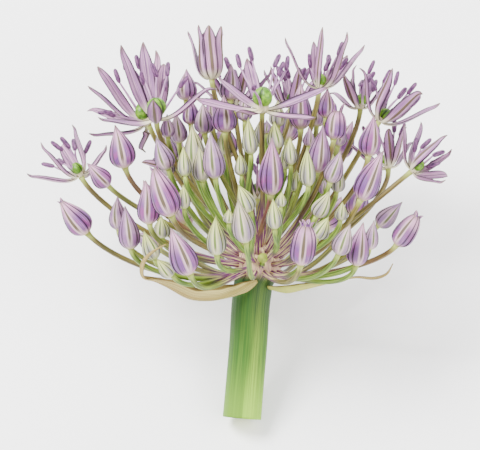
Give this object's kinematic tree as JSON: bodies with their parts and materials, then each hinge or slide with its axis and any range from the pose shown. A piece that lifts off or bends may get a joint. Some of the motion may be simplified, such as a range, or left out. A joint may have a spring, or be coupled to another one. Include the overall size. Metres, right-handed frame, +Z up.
{
  "type": "allium flower head",
  "caption": "Cut allium flower head: a round umbel of open star flowers and closed buds on thin stalks over papery bracts and a short thick green stem.",
  "frame": {"origin": "on the surface it lies on, under the middle of its bounding box", "axes": "+Z up; +Y across the surface from the cut end of the stem towards the open flowers, whose axis rises 34 degrees from the surface; +X to the right as the picture shows the head"},
  "size_m": [0.1274, 0.1063, 0.0874],
  "materials": {
    "scape_green": "satin",
    "spathe_papery": "matte",
    "flower_lilac": "matte",
    "bud_lilac": "matte",
    "bud_green": "matte"
  },
  "bodies": {
    "root": {"bud_back_centre_pair": "bud_lilac", "bud_back_high_pair": "bud_lilac", "bud_back_left_pair": "bud_lilac", "bud_back_low_pair": "bud_lilac", "bud_back_right_pair": "bud_lilac", "bud_back_small_pair": "bud_green", "bud_back_upper_group": "bud_lilac", "bud_centre_large": "bud_lilac", "bud_centre_young_pair": "bud_green", "bud_far_left": "bud_lilac", "bud_far_right": "bud_lilac", "bud_front_green_pair": "bud_green", "bud_front_lavender": "bud_lilac", "bud_front_left_purple": "bud_lilac", "bud_front_right_purple": "bud_lilac", "bud_front_white": "bud_green", "bud_left_behind": "bud_green", "bud_left_green_pair": "bud_green", "bud_left_grey_group": "bud_lilac", "bud_left_large_pair": "bud_lilac", "bud_left_low_pair": "bud_lilac", "bud_left_mid": "bud_lilac", "bud_left_outer": "bud_lilac", "bud_left_pale_pair": "bud_lilac", "bud_left_tall_group": "bud_lilac", "bud_rest_left": "bud_lilac", "bud_rest_right": "bud_lilac", "bud_right_behind_group": "bud_lilac", "bud_right_dark_pair": "bud_lilac", "bud_right_grey_pair": "bud_lilac", "bud_right_horned_pair": "bud_lilac", "bud_right_lilac_group": "bud_lilac", "bud_right_low_pair": "bud_lilac", "bud_right_outer_pale": "bud_lilac", "bud_right_pale_pair": "bud_lilac", "bud_right_tall": "bud_lilac", "bud_right_white_pair": "bud_green", "bud_right_young_pair": "bud_green", "bud_rudiment": "bud_green", "bud_top_back_group": "bud_lilac", "bud_top_left_pair": "bud_lilac", "bud_upper_pale_pair": "bud_green", "bud_upper_slim_group": "bud_green", "flower_back_left": "flower_lilac", "flower_back_upper": "flower_lilac", "flower_centre": "flower_lilac", "flower_far_left": "flower_lilac", "flower_far_right": "flower_lilac", "flower_left_facing": "flower_lilac", "flower_left_front": "flower_lilac", "flower_rest_middle": "flower_lilac", "flower_right_back": "flower_lilac", "flower_right_behind": "flower_lilac", "flower_right_upper": "flower_lilac", "flower_top_left_goblet": "flower_lilac", "flower_top_right": "flower_lilac", "scape": "scape_green", "spathe_bract_back": "spathe_papery", "spathe_bract_left": "spathe_papery", "spathe_bract_right": "spathe_papery"}
  },
  "joints": []
}
